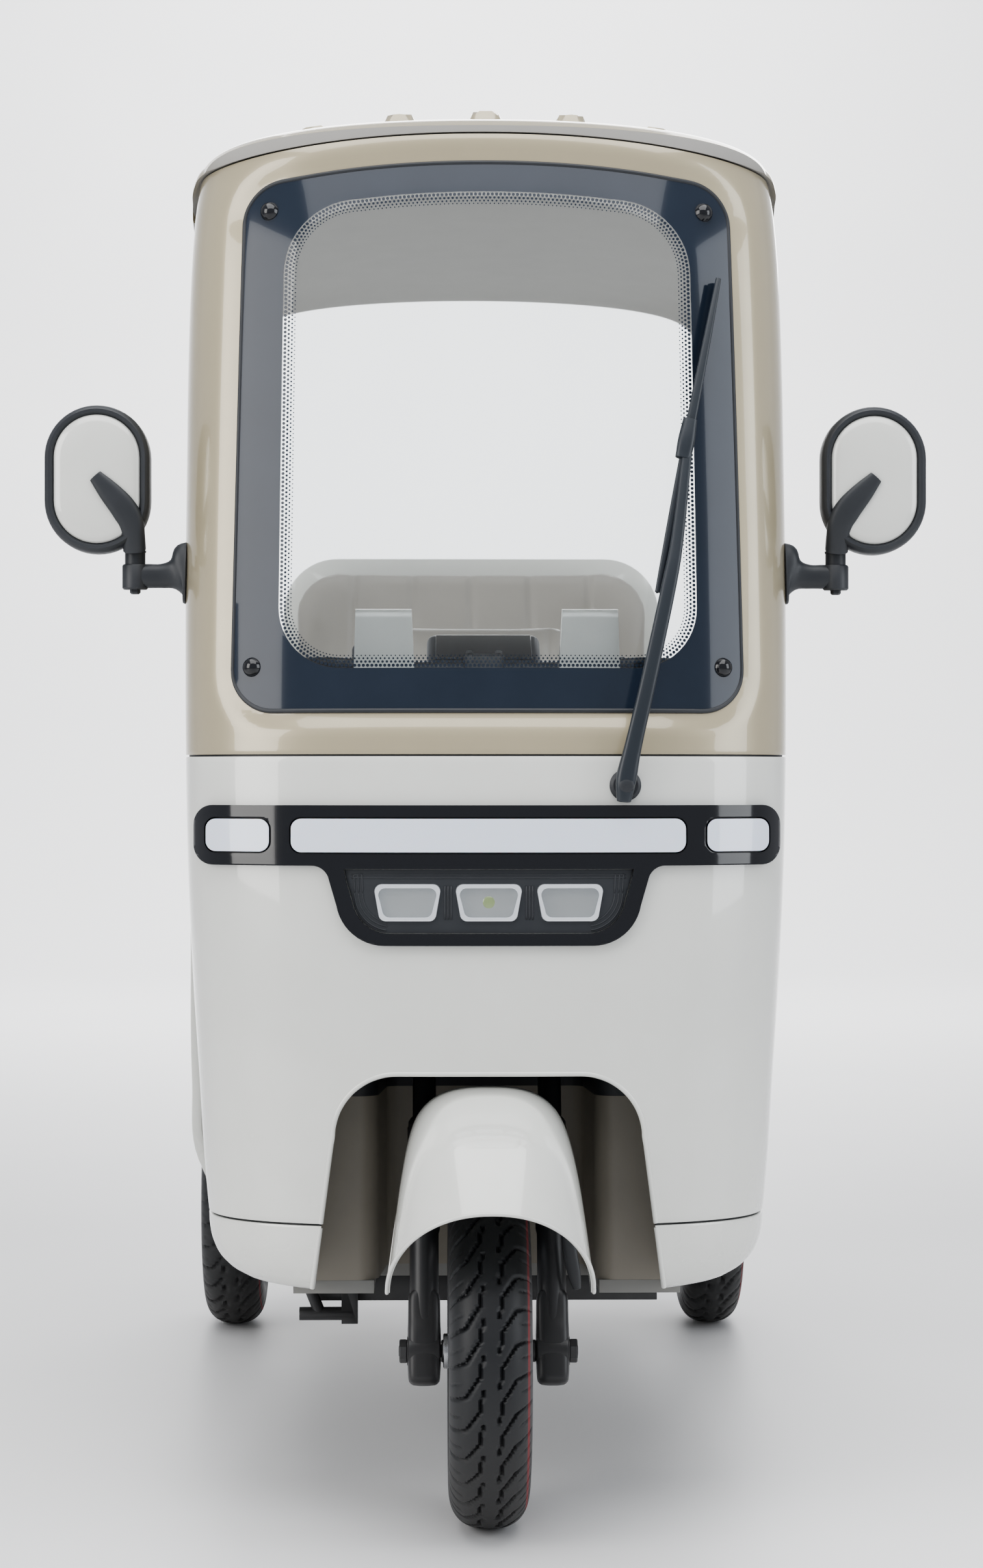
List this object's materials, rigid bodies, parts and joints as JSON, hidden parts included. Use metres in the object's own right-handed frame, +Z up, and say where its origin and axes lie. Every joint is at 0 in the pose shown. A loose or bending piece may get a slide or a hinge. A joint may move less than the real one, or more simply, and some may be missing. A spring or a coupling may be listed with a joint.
{
  "type": "electric tricycle",
  "caption": "Electric passenger tricycle with a moulded cab front, windscreen, open sides, roof, steered front wheel and driven rear axle.",
  "frame": {"origin": "on the ground at the middle of the vehicle's bounding box", "axes": "+Z up, the vehicle faces -Y, +X is its left side"},
  "size_m": [1.12, 2.1757, 1.82],
  "materials": {
    "cream_paint": "gloss",
    "champagne_paint": "gloss",
    "gloss_black": "gloss",
    "black_plastic": "matt",
    "black_steel": "satin",
    "bright_steel": "satin",
    "cast_alloy": "satin",
    "taupe_plastic": "satin",
    "floor_mat": "matt",
    "lamp_diffuser": "gloss",
    "lamp_glass": "clear",
    "screen_glass": "clear",
    "seat_leather": "satin",
    "tyre_rubber": "matt"
  },
  "bodies": {
    "body": {"frame": "black_steel", "head_tube": "black_steel", "front_panel": "cream_paint", "front_skirt": "cream_paint", "windscreen_frame": "champagne_paint", "windscreen": "screen_glass", "roof": "cream_paint", "wheel_well": "taupe_plastic", "lamp_bezel": "gloss_black", "light_bar": "lamp_diffuser", "turn_lamps": "lamp_diffuser", "headlamp_tray": "gloss_black", "headlamps": "lamp_glass", "screen_caps": "black_plastic", "wiper": "black_plastic", "mirror_arms": "black_plastic", "mirror_left": "cream_paint", "mirror_right": "cream_paint", "dashboard": "cream_paint", "floor_pan": "floor_mat", "seat_box": "cream_paint", "rear_body": "cream_paint", "bench_base": "cream_paint", "bench_cushion": "seat_leather", "bench_backrest": "seat_leather", "back_shell": "cream_paint", "rear_pillars": "champagne_paint", "battery": "black_plastic", "rear_axle": "black_steel", "rear_springs": "black_steel", "drive_motor": "cast_alloy", "brake_pedal": "black_steel"},
    "steering": {"fork": "black_steel", "handlebar": "black_plastic", "mudguard": "cream_paint", "front_axle": "bright_steel"},
    "front_wheel": {"front_tyre": "tyre_rubber", "front_rim": "cast_alloy"},
    "rear_wheel_left": {"rear_tyre_left": "tyre_rubber", "rear_rim_left": "cast_alloy"},
    "rear_wheel_right": {"rear_tyre_right": "tyre_rubber", "rear_rim_right": "cast_alloy"},
    "driver_seat": {"seat_plate": "black_steel", "driver_cushion": "seat_leather", "driver_backrest": "seat_leather"}
  },
  "joints": [
    {"name": "steering_turn", "type": "hinge", "parent": "body", "child": "steering", "pos_m": [0, -0.79225, 0.20737], "axis": [0, 0.342, 0.9397], "range_deg": [-28, 28]},
    {"name": "front_wheel_spin", "type": "hinge", "parent": "steering", "child": "front_wheel", "pos_m": [0, -0.8242, 0.219], "axis": [1, 0, 0], "continuous": true},
    {"name": "rear_wheel_left_spin", "type": "hinge", "parent": "body", "child": "rear_wheel_left", "pos_m": [0.408, 0.7758, 0.219], "axis": [1, 0, 0], "continuous": true},
    {"name": "rear_wheel_right_spin", "type": "hinge", "parent": "body", "child": "rear_wheel_right", "pos_m": [-0.408, 0.7758, 0.219], "axis": [1, 0, 0], "continuous": true},
    {"name": "driver_seat_tilt", "type": "hinge", "parent": "body", "child": "driver_seat", "pos_m": [0, -0.2502, 0.622], "axis": [1, 0, 0], "range_deg": [0, 45]}
  ]
}
